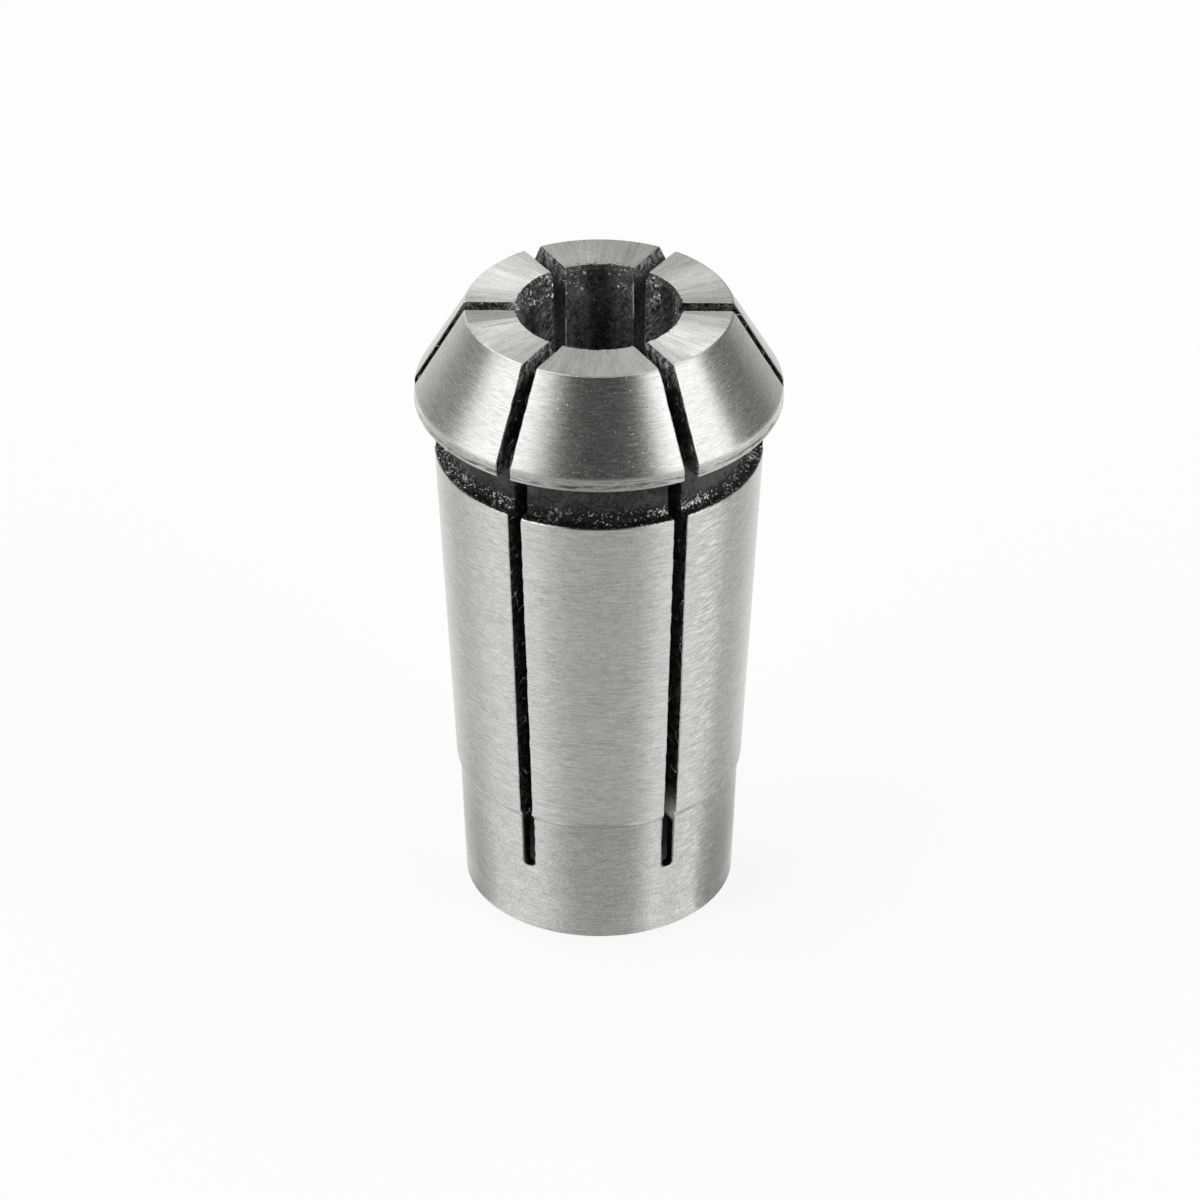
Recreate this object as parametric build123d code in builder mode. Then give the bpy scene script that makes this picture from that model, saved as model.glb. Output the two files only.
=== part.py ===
from build123d import *
import os
from math import radians, tan

# Spring collet: one turned, slotted and hardened steel sleeve that grips a round shank.
# Millimetres. The origin is the centre of the rear end, +Z runs along the axis to the nose.

# Bore that grips the shank, and the jaws' thickness around it at the neck of the groove
bore_diameter = 11.0
mouth_chamfer = 0.25
jaw_thickness = 5.0

# Groove behind the head, which the clamping nut's ring snaps into to pull the collet out
groove_width = 3.75
groove_depth = 0.9
groove_foot_radius = 0.35

# Seat: the ground 1:10 cone that the holder's taper closes on
seat_length = 25.35
seat_taper = 1 / 10

# Head: the clamping cone, the flat face on it and the narrow rim, which stands out past the seat
head_overhang = 1.35
rim_length = 1.0
nose_height = 6.06
nose_half_angle = 30.0

# Tail: a thin, slightly tapered skirt that carries the jaws like a ring of leaf springs
step_depth = 0.24
step_length = 0.45
tail_length = 9.7
tail_taper = 1 / 13.3
skirt_wall = 0.53
hollow_depth = 9.1
hollow_corner_radius = 0.3

# Slots between the jaws, sprung open towards the nose
slot_count = 6
slot_width_at_end = 0.87
slot_opening = 0.21
slot_end_height = 5.4
slot_corner_radius = 0.3

# Broken edges
face_break = 0.08
rim_break = 0.12
shoulder_break = 0.1
rear_break = 0.12

# Heights of the turned forms above the rear end
seat_bottom = tail_length + step_length
shoulder_height = seat_bottom + seat_length
rim_bottom = shoulder_height + groove_width
rim_top = rim_bottom + rim_length
total_length = rim_top + nose_height

# Radii of the turned forms: outwards from the bore to the head, then down the seat to the tail
bore_radius = bore_diameter / 2
neck_radius = bore_radius + jaw_thickness
shoulder_radius = neck_radius + groove_depth
head_radius = shoulder_radius + head_overhang
face_radius = head_radius - nose_height * tan(radians(nose_half_angle))
seat_end_radius = shoulder_radius - seat_length * seat_taper / 2
tail_top_radius = seat_end_radius - step_depth
tail_end_radius = tail_top_radius - tail_length * tail_taper / 2
hollow_radius = tail_end_radius - skirt_wall

# Slot cutter: the flat gap that a slitting wheel leaves between two jaws, a little wider at
# the top. It stands on the axis and reaches out past the rim and up past the face.
cutter_margin = 1.0
cutter_reach = head_radius + cutter_margin
cutter_top = total_length + cutter_margin
end_half_width = slot_width_at_end / 2
top_half_width = end_half_width + slot_opening / 2

with BuildPart() as slot_cutter:
    with BuildSketch(Plane.YZ) as slot_outline:
        with BuildLine():
            Polyline(
                (-end_half_width, slot_end_height),
                (end_half_width, slot_end_height),
                (top_half_width, cutter_top),
                (-top_half_width, cutter_top),
                close=True,
            )
        make_face()
        fillet(slot_outline.vertices().group_by(Axis.Y)[0], slot_corner_radius)
    extrude(amount=cutter_reach)

# Collet: the outside is turned as one section, then bored from the rear and slotted.
with BuildPart() as collet:
    with BuildSketch(Plane.XZ) as turned_section:
        with BuildLine():
            Polyline(
                (0, 0),
                (tail_end_radius, 0),
                (tail_top_radius, tail_length),
                (seat_end_radius, seat_bottom),
                (shoulder_radius, shoulder_height),
                (neck_radius, shoulder_height),
                (neck_radius, rim_bottom),
                (head_radius, rim_bottom),
                (head_radius, rim_top),
                (face_radius, total_length),
                (0, total_length),
                close=True,
            )
        make_face()

        # Corners of the section, picked by height and then by how far out they lie
        rear_corner = turned_section.vertices().group_by(Axis.Y)[0].sort_by(Axis.X)[-1]
        chamfer(rear_corner, rear_break)
        face_corner = turned_section.vertices().group_by(Axis.Y)[-1].sort_by(Axis.X)[-1]
        chamfer(face_corner, face_break)
        rim_corners = turned_section.vertices().filter_by_position(Axis.Y, rim_bottom, rim_top)
        chamfer(rim_corners.sort_by(Axis.X)[-2:], rim_break)
        ledge_corners = turned_section.vertices().filter_by_position(Axis.Y, shoulder_height, shoulder_height)
        chamfer(ledge_corners.sort_by(Axis.X)[-1], shoulder_break)
        ledge_corners = turned_section.vertices().filter_by_position(Axis.Y, shoulder_height, shoulder_height)
        fillet(ledge_corners.sort_by(Axis.X)[0], groove_foot_radius)
    revolve(axis=Axis.Z)

    # The shank bore runs right through, and opens out into the hollow tail
    with Locations(Plane(origin=(0, 0, 0), z_dir=(0, 0, -1))):
        CounterBoreHole(radius=bore_radius, counter_bore_radius=hollow_radius, counter_bore_depth=hollow_depth)
    hollow_floor = collet.faces().filter_by(Axis.Z).sort_by(Axis.Z)[1]
    fillet(hollow_floor.edges().sort_by(SortBy.RADIUS)[-1], hollow_corner_radius)
    face = collet.faces().sort_by(Axis.Z)[-1]
    chamfer(face.edges().sort_by(SortBy.RADIUS)[0], mouth_chamfer)

    # Six slots part the sleeve into jaws, which stay joined by the ring at the rear
    with PolarLocations(0, slot_count):
        add(slot_cutter.part, mode=Mode.SUBTRACT)

collet.part.label = "collet"

os.makedirs("parts", exist_ok=True)
export_step(collet.part, "parts/collet.step")
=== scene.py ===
from math import cos, pi, radians, sin, tan

import bmesh
import bpy
import numpy as np
from bpy.props import FloatProperty, FloatVectorProperty, IntProperty, PointerProperty
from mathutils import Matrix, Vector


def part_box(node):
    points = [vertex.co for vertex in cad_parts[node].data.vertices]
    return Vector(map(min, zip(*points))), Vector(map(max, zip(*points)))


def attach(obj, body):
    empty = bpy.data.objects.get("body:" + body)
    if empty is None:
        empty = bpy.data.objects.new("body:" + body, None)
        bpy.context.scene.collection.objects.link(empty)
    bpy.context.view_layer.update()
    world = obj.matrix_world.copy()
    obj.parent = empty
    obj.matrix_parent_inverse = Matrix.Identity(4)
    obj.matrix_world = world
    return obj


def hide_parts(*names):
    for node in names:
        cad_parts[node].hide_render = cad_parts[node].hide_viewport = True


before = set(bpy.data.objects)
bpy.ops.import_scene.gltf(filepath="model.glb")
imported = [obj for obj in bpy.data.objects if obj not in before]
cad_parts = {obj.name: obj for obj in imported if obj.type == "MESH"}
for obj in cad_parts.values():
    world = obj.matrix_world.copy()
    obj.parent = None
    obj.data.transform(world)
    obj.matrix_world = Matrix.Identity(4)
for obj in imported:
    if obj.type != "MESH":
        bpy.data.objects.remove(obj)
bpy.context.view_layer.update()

bl_info = {
    "name": "Spring Collet",
    "version": (1, 0, 0),
    "blender": (4, 5, 0),
    "location": "3D View > Sidebar > Collet",
    "description": "Builds a slotted spring collet with its ground and scaled finishes on a pale floor",
    "category": "Object",
}

low_corner, high_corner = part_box("collet")

MM = 0.001
# The turn from one slot to the next
SECTOR = pi / 3
# The order of the collet's finishes in its mesh
GROUND, FACED, GROOVE, BORE, SLOT = range(5)

# Settings that a user would change


class ColletSizes(bpy.types.PropertyGroup):
    """Turned and slotted sizes of the collet"""

    total_length: FloatProperty(
        name="Length", description="Rear end to face", default=high_corner.z, unit="LENGTH")
    head_diameter: FloatProperty(
        name="Head", description="Diameter of the rim",
        default=high_corner.y - low_corner.y, unit="LENGTH")
    nose_height: FloatProperty(
        name="Nose height", description="Height of the clamping cone", default=6.06 * MM, unit="LENGTH")
    nose_half_angle: FloatProperty(
        name="Nose half angle", description="Half angle of the clamping cone",
        default=radians(30), unit="ROTATION")
    rim_length: FloatProperty(
        name="Rim", description="Length of the cylindrical rim", default=1.0 * MM, unit="LENGTH")
    groove_width: FloatProperty(
        name="Groove width", description="Width of the snap groove", default=3.75 * MM, unit="LENGTH")
    groove_depth: FloatProperty(
        name="Groove depth", description="Depth of the snap groove below the seat",
        default=0.9 * MM, unit="LENGTH")
    head_overhang: FloatProperty(
        name="Overhang", description="How far the rim stands out past the seat",
        default=1.35 * MM, unit="LENGTH")
    seat_length: FloatProperty(
        name="Seat length", description="Length of the ground seat cone", default=25.35 * MM, unit="LENGTH")
    seat_taper: FloatProperty(
        name="Seat taper", description="Change of diameter over length", default=0.1)
    step_depth: FloatProperty(
        name="Step depth", description="Drop from the seat to the tail", default=0.24 * MM, unit="LENGTH")
    step_length: FloatProperty(
        name="Step length", description="Length of the sloped step", default=0.45 * MM, unit="LENGTH")
    tail_taper: FloatProperty(
        name="Tail taper", description="Change of diameter over length", default=1 / 13.3)
    skirt_wall: FloatProperty(
        name="Skirt wall", description="Wall of the hollow tail at its end",
        default=0.53 * MM, unit="LENGTH")
    hollow_depth: FloatProperty(
        name="Hollow depth", description="Depth of the hollow tail", default=9.1 * MM, unit="LENGTH")
    bore_diameter: FloatProperty(
        name="Bore", description="Diameter of the shank bore", default=11.0 * MM, unit="LENGTH")
    slot_width: FloatProperty(
        name="Slot width", description="Width of a slot at its lower end", default=0.87 * MM, unit="LENGTH")
    slot_opening: FloatProperty(
        name="Slot opening", description="Extra width of a slot at the nose",
        default=0.21 * MM, unit="LENGTH")
    slot_end: FloatProperty(
        name="Slot end", description="Height at which the slots end", default=5.4 * MM, unit="LENGTH")


class ColletFinish(bpy.types.PropertyGroup):
    """Colours, surface and wear of the steel"""

    ground_colour: FloatVectorProperty(
        name="Ground steel", description="Colour of the ground surfaces", subtype="COLOR",
        size=3, min=0, max=1, default=(0.62, 0.62, 0.61))
    scale_colour: FloatVectorProperty(
        name="Scale", description="Colour of the dark heat-treatment scale", subtype="COLOR",
        size=3, min=0, max=1, default=(0.055, 0.055, 0.056))
    bore_colour: FloatVectorProperty(
        name="Bore and slots", description="Colour of the scale in the bore and on the slot walls",
        subtype="COLOR", size=3, min=0, max=1, default=(0.085, 0.085, 0.086))
    grind_roughness: FloatProperty(
        name="Grind roughness", description="Roughness of the ground surfaces",
        default=0.27, min=0, max=1, subtype="FACTOR")
    edge_wear: FloatProperty(
        name="Edge wear", description="Depth that the slot edges are broken by",
        default=0.045 * MM, unit="LENGTH")
    wear_seed: IntProperty(
        name="Wear seed", description="Seed of the wear pattern", default=7, min=0)


class StudioSettings(bpy.types.PropertyGroup):
    """Camera, floor and light"""

    lens: FloatProperty(
        name="Lens", description="Focal length",
        default=0.19986, subtype="DISTANCE_CAMERA", unit="CAMERA")
    distance: FloatProperty(
        name="Distance", description="Camera to aim point", default=0.46752, unit="LENGTH")
    elevation: FloatProperty(
        name="Elevation", description="Camera angle above the floor",
        default=radians(33.1385), unit="ROTATION")
    turn: FloatProperty(
        name="Turn", description="Camera angle around the collet",
        default=radians(0.55), unit="ROTATION")
    aim: FloatVectorProperty(
        name="Aim", description="Point in the middle of the view, before the turn",
        subtype="TRANSLATION", size=3, default=(0.0000684, -0.000896, 0.022938), unit="LENGTH")
    floor_colour: FloatVectorProperty(
        name="Floor", description="Colour of the floor", subtype="COLOR",
        size=3, min=0, max=1, default=(0.86, 0.86, 0.86))


# Shader graphs


class Signal:
    """A number that runs through a shader graph. Arithmetic on it adds Math nodes."""

    def __init__(self, graph, socket):
        self.graph = graph
        self.socket = socket

    def math(self, operation, *others, clamp=False):
        sockets = {0: self}
        sockets.update({i + 1: other for i, other in enumerate(others)})
        return self.graph.add("ShaderNodeMath", {"operation": operation, "use_clamp": clamp}, sockets)

    def flipped(self, operation, other):
        return self.graph.add("ShaderNodeMath", {"operation": operation}, {0: other, 1: self})

    def __add__(self, other):
        return self.math("ADD", other)

    def __radd__(self, other):
        return self.math("ADD", other)

    def __sub__(self, other):
        return self.math("SUBTRACT", other)

    def __rsub__(self, other):
        return self.flipped("SUBTRACT", other)

    def __mul__(self, other):
        return self.math("MULTIPLY", other)

    def __rmul__(self, other):
        return self.math("MULTIPLY", other)

    def __truediv__(self, other):
        return self.math("DIVIDE", other)

    def __rtruediv__(self, other):
        return self.flipped("DIVIDE", other)

    def __pow__(self, other):
        return self.math("POWER", other)

    def step(self, low, high):
        """0 below low, 1 above high, with a smooth rise between (or a fall where low is above high)."""
        return self.graph.add(
            "ShaderNodeMapRange", {"interpolation_type": "SMOOTHSTEP"},
            {"Value": self, "From Min": low, "From Max": high})

    def band(self, start, full, fading, end):
        """0 below start and above end, and 1 from full to fading, with smooth edges."""
        return self.step(start, full) * self.step(end, fading)


class Graph:
    """Adds nodes to a node tree, one call each."""

    def __init__(self, tree):
        self.tree = tree
        tree.nodes.clear()

    def add(self, kind, settings=None, sockets=None, out=0):
        """A node of that kind: its settings are set first, then the values or links of its sockets."""
        node = self.tree.nodes.new(kind)
        settings = dict(settings or {})
        stops = settings.pop("stops", None)
        for name, value in settings.items():
            setattr(node, name, value)
        if stops:
            elements = node.color_ramp.elements
            for position, level in stops[2:]:
                elements.new(position)
            for element, (position, level) in zip(elements, stops):
                element.position = position
                element.color = (level, level, level, 1)
        for key, value in (sockets or {}).items():
            if isinstance(value, Signal):
                self.tree.links.new(value.socket, node.inputs[key])
            else:
                node.inputs[key].default_value = value
        return Signal(self, node.outputs[out]) if node.outputs else None

    def place(self):
        """Object coordinates in millimetres."""
        at = self.add("ShaderNodeTexCoord", out="Object")
        return self.scaled(at, 1 / MM)

    def split(self, vector):
        """The three numbers of a vector."""
        node = self.add("ShaderNodeSeparateXYZ", sockets={0: vector}).socket.node
        return [Signal(self, node.outputs[i]) for i in range(3)]

    def join(self, x, y, z):
        """A vector of three numbers."""
        return self.add("ShaderNodeCombineXYZ", sockets={0: x, 1: y, 2: z})

    def noise(self, vector, scale=1.0, detail=2.0, roughness=0.5):
        """Fractal noise between 0 and 1, about one half."""
        return self.add(
            "ShaderNodeTexNoise", {"noise_dimensions": "3D"},
            {"Vector": vector, "Scale": scale, "Detail": detail, "Roughness": roughness})

    def cells(self, vector, scale=1.0, out="Distance"):
        """Random cells: the distance to the nearest cell's point, or with out as Color a colour each."""
        return self.add(
            "ShaderNodeTexVoronoi", {"voronoi_dimensions": "3D", "feature": "F1"},
            {"Vector": vector, "Scale": scale}, out=out)

    def by_angle(self, angle, stops):
        """A level by an angle in radians, with its stops in degrees from -180 to 180."""
        stops = [(at / 360 + 0.5, level) for at, level in stops]
        return self.add("ShaderNodeValToRGB", {"stops": stops}, {"Fac": angle / (2 * pi) + 0.5})

    def vector(self, operation, first, second):
        """Vector maths on two vectors."""
        return self.add("ShaderNodeVectorMath", {"operation": operation}, {0: first, 1: second})

    def facets(self, place, scale, tilt):
        """The surface normal, leaning a random way in each small cell, so that single grains glint."""
        lean = self.vector("SUBTRACT", self.cells(place, scale, out="Color"), (0.5, 0.5, 0.5))
        normal = self.add("ShaderNodeNewGeometry", out="Normal")
        leaning = self.vector("ADD", normal, self.scaled(lean, tilt))
        return self.add("ShaderNodeVectorMath", {"operation": "NORMALIZE"}, {0: leaning})

    def scaled(self, vector, level):
        """A vector or a colour multiplied by a number."""
        return self.add("ShaderNodeVectorMath", {"operation": "SCALE"}, {0: vector, "Scale": level})

    def blend(self, mask, first, second):
        """The first colour where the mask is 0, the second where it is 1."""
        return self.add(
            "ShaderNodeMix", {"data_type": "RGBA", "clamp_factor": True},
            {"Factor": mask, 6: first, 7: second}, out=2)


def new_material(name):
    """An empty material with that name and its graph."""
    material = bpy.data.materials.new(name)
    material.use_nodes = True
    return material, Graph(material.node_tree)


def finish_surface(graph, shader):
    """Links a shader to the material's output."""
    graph.add("ShaderNodeOutputMaterial", sockets={"Surface": shader})


def opaque(colour):
    """A colour with an alpha of 1."""
    return (*colour, 1)


def radius_of(x, y):
    """The distance from the collet's axis."""
    return (x * x + y * y) ** 0.5


def turn_of(x, y):
    """The azimuth from the front, in radians, growing to the right."""
    return x.math("ARCTAN2", y * -1)


def slot_distance(shape, x, y, z):
    """Millimetres from the edge of the nearest slot, and below 0 inside it. The radius times the sine of the
    angle to the nearest slot's middle is the way beside it. The slot is a box, drawn in by its corner's
    radius, and that radius is taken off the distance to the box, so that its lower corners are round."""
    angle = y.math("ARCTAN2", x).math("PINGPONG", SECTOR / 2)
    off = radius_of(x, y) * angle.math("SINE")
    beside = off - (shape.half_end - shape.slot_corner) - shape.slot_slope * (z - shape.slot_z)
    beside = beside.math("MAXIMUM", 0.0)
    below = (shape.slot_z + shape.slot_corner - z).math("MAXIMUM", 0.0)
    return (beside * beside + below * below) ** 0.5 - shape.slot_corner


def dust(graph, place):
    """A mask of dust: small round dots about random points, thicker in some places than in others."""
    return graph.cells(place, scale=3.4).step(0.15, 0.08) * graph.noise(place, scale=0.6).step(0.35, 0.60)


def make_ground_steel(finish, shape):
    """Fine circumferential grinding: noise drawn out around the axis into thin lines at constant height, in
    the colour, the roughness and the relief. On it lie cross strokes at the right with painted highlight
    streaks, marks on the rim and the tail, painted light and shade around the rim and the tail, at the step
    and along edges, glints, dust, and dark specks of scale along the slots."""
    material, graph = new_material("ground_steel")
    place = graph.place()
    x, y, z = graph.split(place)
    turn = turn_of(x, y)
    aside = turn.math("ABSOLUTE")
    arc_length = turn * radius_of(x, y)
    fine = graph.noise(graph.join(x * 1.2, y * 1.2, z * 15.0), detail=3.0, roughness=0.65)
    dash = graph.noise(graph.join(x * 0.45, y * 0.45, z * 6.5), detail=3.0, roughness=0.6)
    broad = graph.noise(graph.join(x * 0.12, y * 0.12, z * 0.7), detail=2.0, roughness=0.6)
    grain = graph.noise(place, scale=6.5, detail=3.0, roughness=0.75)
    blotch = graph.noise(place, scale=1.3, detail=3.0, roughness=0.6)
    hatch = graph.noise(
        graph.join(arc_length * 1.1, z * 5.5 - arc_length * 0.6, turn), detail=2.0, roughness=0.6)

    # The turned forms, each as a mask
    tail = z.step(shape.tail_top + 0.05, shape.tail_top - 0.05)
    nose = z.step(shape.rim_top - 0.15, shape.rim_top + 0.15)
    rim = z.band(shape.rim_bottom - 0.05, shape.rim_bottom + 0.05, shape.rim_top, shape.rim_top + 0.10)
    seat = (1 - tail) * z.step(shape.rim_bottom - 0.25, shape.rim_bottom - 0.35)
    right = turn.band(0.58, 0.74, 0.80, 0.98) * (seat + tail)
    left = turn.step(-0.4, -0.7) * (1 - nose * 0.5)
    chatter_and_painted_streaks = hatch.step(0.50, 0.66) * right

    # The grind: thin lines, dashes, grain and clouds, with other strengths on each form
    level = 1.0 + (fine - 0.5) * (1.30 * seat + 0.80 * tail + 1.05 * nose)
    level = level + (dash - 0.5) * (0.40 * seat + 0.45 * tail + 0.12 * nose)
    level = level + (grain - 0.5) * (0.80 + tail * 0.50 - nose * 0.35)
    level = level + (blotch - 0.5) * (0.15 + tail * 0.15) + (broad - 0.5) * 0.15
    # Painted highlight streaks along the chatter marks at the right, which also stand in the relief, and
    # painted shade over that part of the seat and tail
    level = level + chatter_and_painted_streaks * 0.36 - right * 0.07

    # The rim: a belt of dark chatter marks, a broken line above it, and painted light and shade that change
    # around it
    up_rim = z - shape.rim_bottom
    belt = up_rim.band(0.17, 0.33, 0.51, 0.70)
    line = up_rim.band(0.68, 0.74, 0.81, 0.87)
    chatter = graph.noise(graph.join(x * 0.8, y * 0.8, z * 7.0), detail=3.0, roughness=0.65)
    marks = belt * (chatter.step(0.42, 0.60) * 0.55 + dash.step(0.45, 0.60) * 0.25)
    marks = marks + line * fine.step(0.45, 0.60) * 0.45
    rim_painted_light = graph.by_angle(turn, [
        (-90, 1.2), (-75, 1.5), (-60, 1.28), (-50, 0.85), (-35, 0.95), (-10, 0.86),
        (15, 0.95), (35, 0.95), (47, 1.05), (55, 1.5), (78, 1.5), (90, 1.25),
    ])
    level = level * (1 - rim * (marks + 0.06)) * (1 + rim * (rim_painted_light - 1.0))

    # The step above the tail: a painted shade line at its foot ahead, and a painted highlight on the slope at
    # the sides
    up_step = z - shape.tail_top
    foot = up_step.band(-0.10, -0.02, 0.02, 0.10)
    slope_painted_highlight = up_step.band(0.0, 0.06, 0.42, 0.46)
    side = aside.step(0.55, 0.80)
    level = level * (1 - foot * (1 - side) * 0.28) * (1 + slope_painted_highlight * side * 0.5)

    # The tail: painted light and shade that change around and along it, a small stain at the right, and a
    # painted contact shadow along the rear edge
    tail_painted_light = graph.by_angle(turn, [
        (-90, 1.22), (-80, 1.08), (-72, 1.0), (-66, 1.04), (-60, 1.12), (-55, 1.20), (-48, 1.15),
        (-40, 1.03), (-30, 1.0), (62, 1.0), (69, 0.88), (78, 0.92), (86, 1.0),
    ])
    ahead = aside.step(0.42, 0.22) * tail
    stain = (turn - radians(83.5)).math("ABSOLUTE").step(0.025, 0.010) * z.band(3.9, 4.3, 4.7, 5.1)
    stain = stain * graph.noise(place, scale=3.5).step(0.38, 0.52)
    level = level * (1 + tail * (tail_painted_light - 1.0)) * (1 - tail * 0.05)
    level = level * (1 - ahead * z.step(6.5, 9.0) * 0.10 + ahead * z.step(5.5, 1.0) * 0.12)
    level = level * (1 - stain * 0.75) * (1 - z.step(shape.rear_break + 0.04, shape.rear_break - 0.02) * 0.3)

    # Edges: painted shade along the slots in the tail, painted shade on the seat's shoulder with a painted
    # highlight at its left front, and on the edge of the face painted shade that turns to a painted highlight
    # at the left and back left
    edge = slot_distance(shape, x, y, z)
    soft = tail * (1 - edge.step(-0.02, 0.15)) * 0.75
    shoulder = z.step(shape.shoulder_z - 0.14, shape.shoulder_z + 0.02) * seat
    shoulder_painted_highlight = turn.band(-0.52, -0.42, -0.20, -0.05)
    face_edge = z.step(shape.length - 0.11, shape.length - 0.07)
    level = level * (1 - soft) * (1 - shoulder * (0.5 - shoulder_painted_highlight * 0.60))
    level = level * (1 + face_edge * (turn.step(-0.85, -1.05) * 0.8 - 0.3))

    specks = (graph.noise(place, scale=7.0, detail=3.0, roughness=0.7) - edge * 3.2).step(0.52, 0.60)
    burnt = (graph.noise(place, scale=7.0, detail=2.0) + shoulder * 0.6).step(0.86, 0.98)
    steel = graph.scaled(tuple(finish.ground_colour), level)
    colour = graph.blend(specks.math("MAXIMUM", burnt) * 0.92, steel, opaque(finish.scale_colour))
    relief = fine * (0.5 + nose * 0.5) + grain * (0.45 + tail * 0.5 - nose * 0.2) + chatter_and_painted_streaks * 0.6
    nicks = graph.noise(place, scale=9.0, detail=1.0).step(0.665, 0.74) * (1.2 - left)
    bump = graph.add("ShaderNodeBump", sockets={
        "Strength": 1.0,
        "Distance": 0.0000032,
        "Height": relief,
        "Normal": graph.facets(place, 8.0, nicks * 0.45 + left * 0.012),
    })
    steel_shader = graph.add("ShaderNodeBsdfPrincipled", sockets={
        "Base Color": colour,
        "Metallic": 1 - dust(graph, place) * 0.5,
        "Roughness": finish.grind_roughness + (fine - 0.5) * 0.18 + (grain - 0.5) * 0.16 - tail * 0.03,
        "Anisotropic": 0.75,
        "Anisotropic Rotation": 0.25,
        "Normal": bump,
    })
    finish_surface(graph, steel_shader)
    return material


def make_faced_steel(finish, shape):
    """A face ground with a radial lay: noise of the direction from the axis, so that its lines fan out. Each
    jaw has its own grind level with painted light and shade over it that change around the face, and dark
    crumbs of scale eat into the edges of the slots and of the mouth."""
    material, graph = new_material("faced_steel")
    place = graph.place()
    x, y, z = graph.split(place)
    radius = radius_of(x, y)
    turn = turn_of(x, y)

    def lines(around, along, **settings):
        """Noise that is fine around the axis and long away from it."""
        return graph.noise(graph.join(x / radius * around, y / radius * around, radius * along), **settings)

    fan = lines(80.0, 0.4, detail=3.0, roughness=0.7)
    broad = lines(12.0, 0.35)
    scratch = lines(34.0, 0.22, detail=1.0)
    grain = graph.noise(place, scale=7.0, detail=3.0, roughness=0.75)
    # Painted light and shade by the azimuth, with each jaw's own grind in it
    polish_and_painted_light = graph.by_angle(turn, [
        (-180, 1.0), (-125, 1.02), (-118, 1.08), (-108, 1.14), (-91, 1.08), (-89, 0.86), (-75.8, 0.84),
        (-74.8, 1.26), (-70, 1.26), (-60, 1.14), (-50, 1.0), (40, 1.05), (50, 1.18), (60, 1.06),
        (85, 1.02), (100, 0.93), (115, 1.0), (123, 0.98), (132, 0.84), (145, 0.83), (180, 1.0),
    ])
    level = 1.03 + (fan - 0.5) * 0.85 + (broad - 0.5) * 0.60 + (grain - 0.5) * 1.05
    level = (level + scratch.step(0.68, 0.74) * 0.22 - scratch.step(0.30, 0.25) * 0.30) * polish_and_painted_light

    # The distance to the nearest edge, where the mouth's counts for less, least of all on the rear jaw
    crumbled = turn.math("ABSOLUTE").step(2.55, 2.65)
    from_mouth = (radius - (shape.bore + shape.mouth_break - 0.01)) * (0.40 - crumbled * 0.26)
    edge = slot_distance(shape, x, y, z).math("MINIMUM", from_mouth)
    specks = (graph.noise(place, scale=4.4, detail=3.0, roughness=0.7) - edge * 2.4).step(0.50, 0.54)
    steel = graph.scaled(tuple(finish.ground_colour), level)
    bump = graph.add("ShaderNodeBump", sockets={
        "Strength": 1.0,
        "Distance": 0.0000035,
        "Height": fan * 0.7 + grain * 0.6 + scratch * 0.5,
    })
    steel_shader = graph.add("ShaderNodeBsdfPrincipled", sockets={
        "Base Color": graph.blend(specks * 0.95, steel, opaque(finish.scale_colour)),
        "Metallic": 1.0,
        "Roughness": finish.grind_roughness + 0.18 + (fan - 0.5) * 0.2,
        "Anisotropic": 0.85,
        "Anisotropic Rotation": 0.0,
        "Normal": bump,
    })
    finish_surface(graph, steel_shader)
    return material


def scaled_steel(graph, place, dark, flakes, finish, crystals, tilt, lean=0.9, sheen=0.3):
    """Heat-treatment scale: a dark, crumbly crust, and where the flakes mask is up, bare crystals of steel
    that lean every way and so glint. There are that many crystals to a millimetre. Tilt is how far they lean
    under the crust, lean how much more where they are bare, and sheen is the crust's own gloss."""
    crumbs = graph.noise(place, scale=4.5, detail=4.0, roughness=0.75)
    bump = graph.add("ShaderNodeBump", sockets={
        "Strength": 1.0,
        "Distance": 0.00005,
        "Height": crumbs,
        "Normal": graph.facets(place, crystals, flakes * lean + tilt),
    })
    return graph.add("ShaderNodeBsdfPrincipled", sockets={
        "Base Color": graph.blend(flakes, dark, opaque(finish.ground_colour)),
        "Metallic": flakes * 0.85,
        "Roughness": 0.5 - flakes * 0.25,
        "Specular IOR Level": sheen,
        "Normal": bump,
    })


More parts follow.
